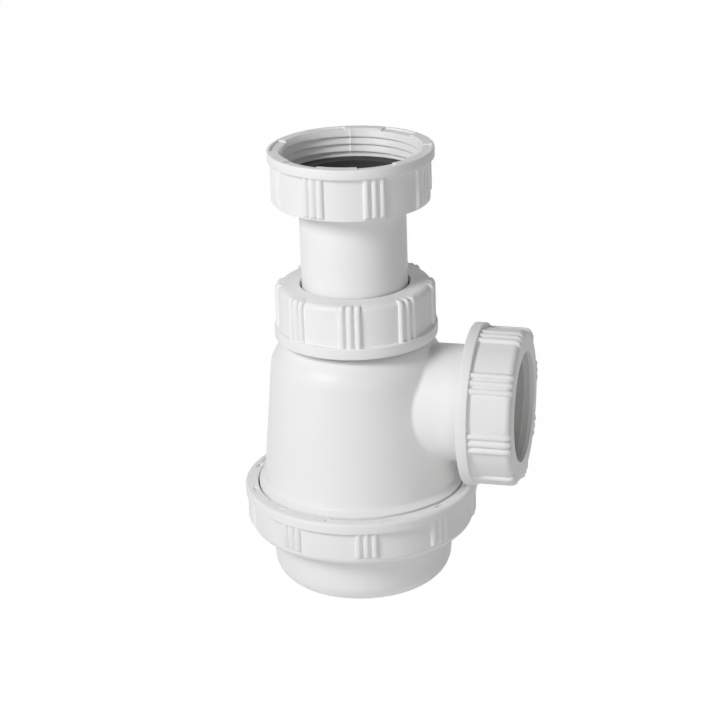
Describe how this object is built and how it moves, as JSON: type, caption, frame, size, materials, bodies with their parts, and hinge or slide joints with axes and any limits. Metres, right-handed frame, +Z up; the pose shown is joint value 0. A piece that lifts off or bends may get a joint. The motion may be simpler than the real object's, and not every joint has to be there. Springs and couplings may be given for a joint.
{
  "type": "drain trap",
  "caption": "Bottle trap for a basin waste: a telescopic inlet with a threaded nut, a tapered bell, a side outlet with a compression nut and a screw-off cleaning cup.",
  "frame": {"origin": "middle of the cup's flat foot, on the bottle's axis", "axes": "+Z up the bottle's axis to the inlet, +X out of the side outlet"},
  "size_m": [0.0876, 0.072, 0.1372],
  "materials": {
    "white_plastic": "satin moulded polypropylene",
    "black_rubber": "matt rubber",
    "slip_plastic": "smooth polyethylene",
    "seal_rubber": "matt rubber"
  },
  "bodies": {
    "bottle": {"bottle_body": "white_plastic", "neck_seal": "seal_rubber", "outlet_seal": "seal_rubber"},
    "tube": {"inlet_tube": "white_plastic", "inlet_washer": "black_rubber"},
    "inlet_nut": {"inlet_nut": "white_plastic"},
    "neck_ring": {"neck_slip_ring": "slip_plastic"},
    "neck_nut": {"neck_nut": "white_plastic"},
    "outlet_ring": {"outlet_slip_ring": "slip_plastic"},
    "outlet_nut": {"outlet_nut": "white_plastic"},
    "base_ring": {"base_seal": "seal_rubber"},
    "base_cup": {"base_cup": "white_plastic"}
  },
  "joints": [
    {"name": "tube_slide", "type": "slide", "parent": "bottle", "child": "tube", "axis": [0, 0, 1], "range_m": [-0.015, 0.025]},
    {"name": "inlet_nut_turn", "type": "hinge", "parent": "tube", "child": "inlet_nut", "pos_m": [0, 0, 0.13], "axis": [0, 0, 1], "continuous": true},
    {"name": "neck_nut_lift", "type": "slide", "parent": "bottle", "child": "neck_ring", "axis": [0, 0, 1], "range_m": [0, 0.00924]},
    {"name": "neck_nut_turn", "type": "hinge", "parent": "neck_ring", "child": "neck_nut", "pos_m": [0, 0, 0.087], "axis": [0, 0, 1], "range_deg": [0, 1450]},
    {"name": "outlet_nut_draw", "type": "slide", "parent": "bottle", "child": "outlet_ring", "axis": [1, 0, 0], "range_m": [0, 0.00924]},
    {"name": "outlet_nut_turn", "type": "hinge", "parent": "outlet_ring", "child": "outlet_nut", "pos_m": [0.043, 0, 0.0585], "axis": [1, 0, 0], "range_deg": [0, 1450]},
    {"name": "base_cup_drop", "type": "slide", "parent": "bottle", "child": "base_ring", "axis": [0, 0, -1], "range_m": [0, 0.009]},
    {"name": "base_cup_turn", "type": "hinge", "parent": "base_ring", "child": "base_cup", "pos_m": [0, 0, 0.025], "axis": [0, 0, -1], "range_deg": [0, 1090]}
  ],
  "couplings": [
    {"joint": "neck_nut_turn", "follows": "neck_nut_lift", "rad_per_m": 2721.2},
    {"joint": "outlet_nut_turn", "follows": "outlet_nut_draw", "rad_per_m": 2721.2},
    {"joint": "base_cup_turn", "follows": "base_cup_drop", "rad_per_m": 2094.4}
  ]
}
